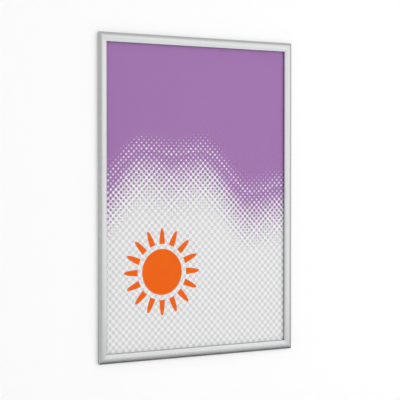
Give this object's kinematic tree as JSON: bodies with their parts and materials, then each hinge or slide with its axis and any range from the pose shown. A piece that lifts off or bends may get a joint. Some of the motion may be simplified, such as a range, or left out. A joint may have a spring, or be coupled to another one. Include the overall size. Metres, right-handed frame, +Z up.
{
  "type": "outdoor display frame",
  "caption": "Wall-hung aluminium snap frame with mitred corners, hinged front rails, gaskets, clear front cover, printed poster and back panel.",
  "frame": {"origin": "centre of the frame on the wall plane that its base rails lie against", "axes": "+Z up along the long side, +X to the right seen from the front, +Y into the wall"},
  "size_m": [0.624, 0.0106, 0.871],
  "materials": {
    "snap_aluminium": "satin silver anodised, drawn lengthways",
    "base_aluminium": "plain silver anodised extrusion",
    "gasket_rubber": "matt black extruded rubber",
    "spring_steel": "bright rolled spring strip",
    "zinc_steel": "bright zinc plate",
    "panel_plastic": "fine matt white sheet",
    "printed_paper": "smooth printed poster paper",
    "clear_plastic": "thin clear sheet with low glare"
  },
  "bodies": {
    "frame_body": {"base_rail_top": "base_aluminium", "base_rail_right": "base_aluminium", "base_rail_bottom": "base_aluminium", "base_rail_left": "base_aluminium", "spring_top_1": "spring_steel", "spring_top_2": "spring_steel", "spring_right_1": "spring_steel", "spring_right_2": "spring_steel", "spring_right_3": "spring_steel", "spring_bottom_1": "spring_steel", "spring_bottom_2": "spring_steel", "spring_left_1": "spring_steel", "spring_left_2": "spring_steel", "spring_left_3": "spring_steel", "corner_bracket_top_right": "zinc_steel", "corner_bracket_bottom_right": "zinc_steel", "corner_bracket_bottom_left": "zinc_steel", "corner_bracket_top_left": "zinc_steel", "grub_screw_top_right_1": "zinc_steel", "grub_screw_top_right_2": "zinc_steel", "grub_screw_bottom_right_1": "zinc_steel", "grub_screw_bottom_right_2": "zinc_steel", "grub_screw_bottom_left_1": "zinc_steel", "grub_screw_bottom_left_2": "zinc_steel", "grub_screw_top_left_1": "zinc_steel", "grub_screw_top_left_2": "zinc_steel", "back_panel": "panel_plastic", "poster": "printed_paper", "front_cover": "clear_plastic"},
    "top_front_rail": {"snap_rail_top": "snap_aluminium", "gasket_top": "gasket_rubber"},
    "right_front_rail": {"snap_rail_right": "snap_aluminium", "gasket_right": "gasket_rubber"},
    "bottom_front_rail": {"snap_rail_bottom": "snap_aluminium", "gasket_bottom": "gasket_rubber"},
    "left_front_rail": {"snap_rail_left": "snap_aluminium", "gasket_left": "gasket_rubber"}
  },
  "joints": [
    {"name": "top_rail_hinge", "type": "hinge", "parent": "frame_body", "child": "top_front_rail", "pos_m": [0, -0.0054, 0.4335], "axis": [-1, 0, 0], "range_deg": [0, 90]},
    {"name": "right_rail_hinge", "type": "hinge", "parent": "frame_body", "child": "right_front_rail", "pos_m": [0.31, -0.0054, 0], "axis": [0, 0, 1], "range_deg": [0, 90]},
    {"name": "bottom_rail_hinge", "type": "hinge", "parent": "frame_body", "child": "bottom_front_rail", "pos_m": [0, -0.0054, -0.4335], "axis": [1, 0, 0], "range_deg": [0, 90]},
    {"name": "left_rail_hinge", "type": "hinge", "parent": "frame_body", "child": "left_front_rail", "pos_m": [-0.31, -0.0054, 0], "axis": [0, 0, -1], "range_deg": [0, 90]}
  ]
}
